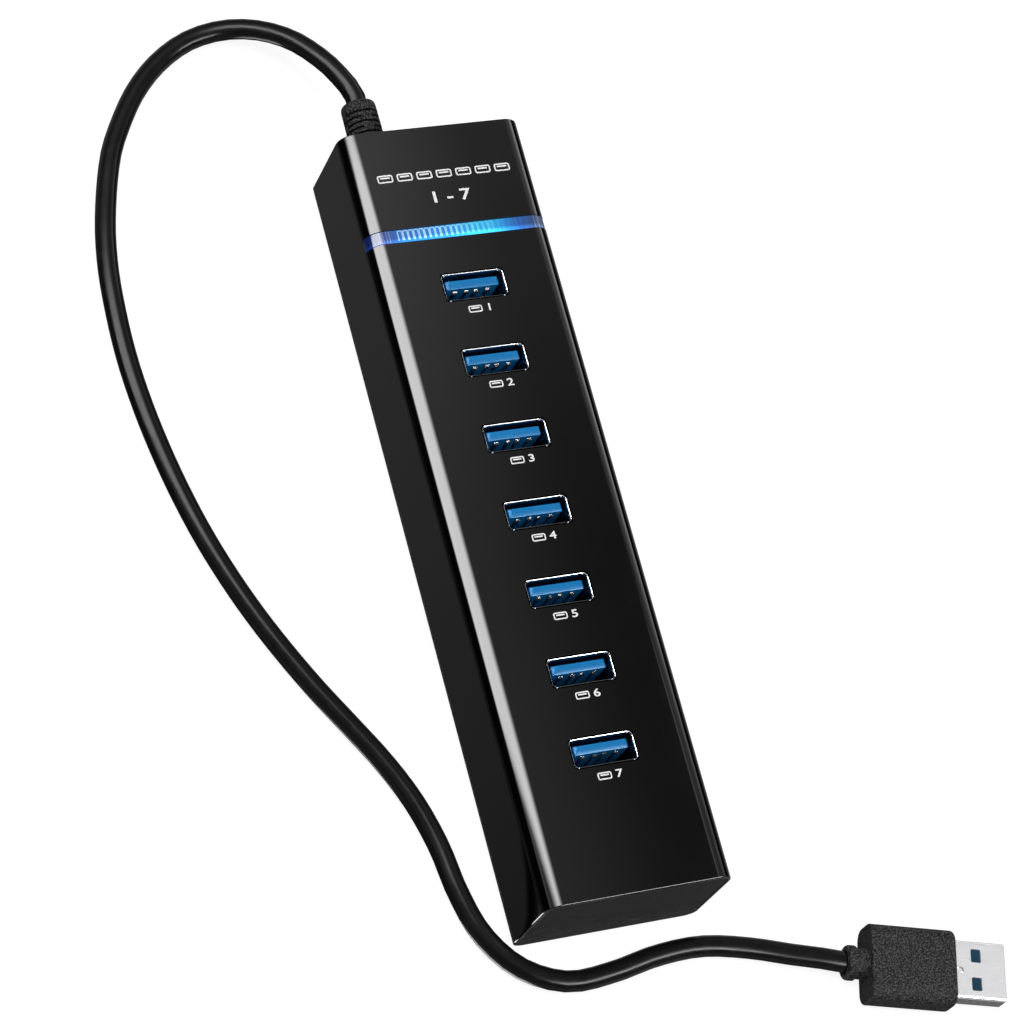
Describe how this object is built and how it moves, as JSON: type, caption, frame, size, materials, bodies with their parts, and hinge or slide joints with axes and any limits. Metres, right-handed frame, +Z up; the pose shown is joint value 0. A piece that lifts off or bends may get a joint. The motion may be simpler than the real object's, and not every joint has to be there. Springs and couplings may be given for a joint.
{
  "type": "usb hub",
  "caption": "Long black USB hub with a row of upward-facing blue type A sockets, a blue light bar, and a short captive lead to a type A plug.",
  "frame": {"origin": "centre of the housing's underside, on the surface that the hub lies on", "axes": "+Y along the housing towards the end that the lead leaves, +Z up out of the sockets, +X across the housing, to the right when the lead end points away from the viewer"},
  "size_m": [0.1482, 0.2335, 0.0252],
  "materials": {
    "gloss_black": "high-gloss moulded ABS, mirror-like, with faint dust and hairline marks",
    "matte_black": "fine spark-textured moulded ABS",
    "grip_black": "matte soft PVC overmould with a fine grain",
    "lead_black": "smooth semi-gloss PVC jacket",
    "clear_bar": "clear ribbed acrylic light guide, glowing blue",
    "socket_metal": "nickel-plated stamped steel, satin to bright",
    "usb_blue": "satin moulded blue nylon",
    "board_green": "glass-fibre laminate with satin solder mask",
    "chip_black": "matte moulded epoxy or nylon",
    "tin": "drawn metal can, satin",
    "ferrite": "matte dark grey ferrite",
    "led_white": "white lamp body with a clear lens",
    "header_white": "off-white moulded nylon",
    "screw_steel": "zinc-plated steel"
  },
  "bodies": {
    "root": {"top_cover": "gloss_black", "bottom_cover": "matte_black", "foot_end_cap": "matte_black", "head_end_cap": "matte_black", "light_bar": "clear_bar", "circuit_board": "board_green", "hub_controller_1": "chip_black", "hub_controller_2": "chip_black", "crystal_1": "tin", "crystal_2": "tin", "voltage_regulator": "chip_black", "power_inductor": "ferrite", "capacitor_1": "tin", "capacitor_2": "tin", "capacitor_3": "tin", "led_1": "led_white", "led_2": "led_white", "led_3": "led_white", "cover_screw_1": "screw_steel", "cover_screw_2": "screw_steel", "cover_screw_3": "screw_steel", "cover_screw_4": "screw_steel", "port_shell_1": "socket_metal", "port_tongue_1": "usb_blue", "port_block_1": "chip_black", "port_shell_2": "socket_metal", "port_tongue_2": "usb_blue", "port_block_2": "chip_black", "port_shell_3": "socket_metal", "port_tongue_3": "usb_blue", "port_block_3": "chip_black", "port_shell_4": "socket_metal", "port_tongue_4": "usb_blue", "port_block_4": "chip_black", "port_shell_5": "socket_metal", "port_tongue_5": "usb_blue", "port_block_5": "chip_black", "port_shell_6": "socket_metal", "port_tongue_6": "usb_blue", "port_block_6": "chip_black", "port_shell_7": "socket_metal", "port_tongue_7": "usb_blue", "port_block_7": "chip_black", "strain_relief": "grip_black", "lead_cable": "lead_black", "lead_tail": "lead_black", "lead_header": "header_white", "plug_grip": "grip_black", "plug_shell": "socket_metal", "plug_block": "usb_blue"}
  },
  "joints": []
}
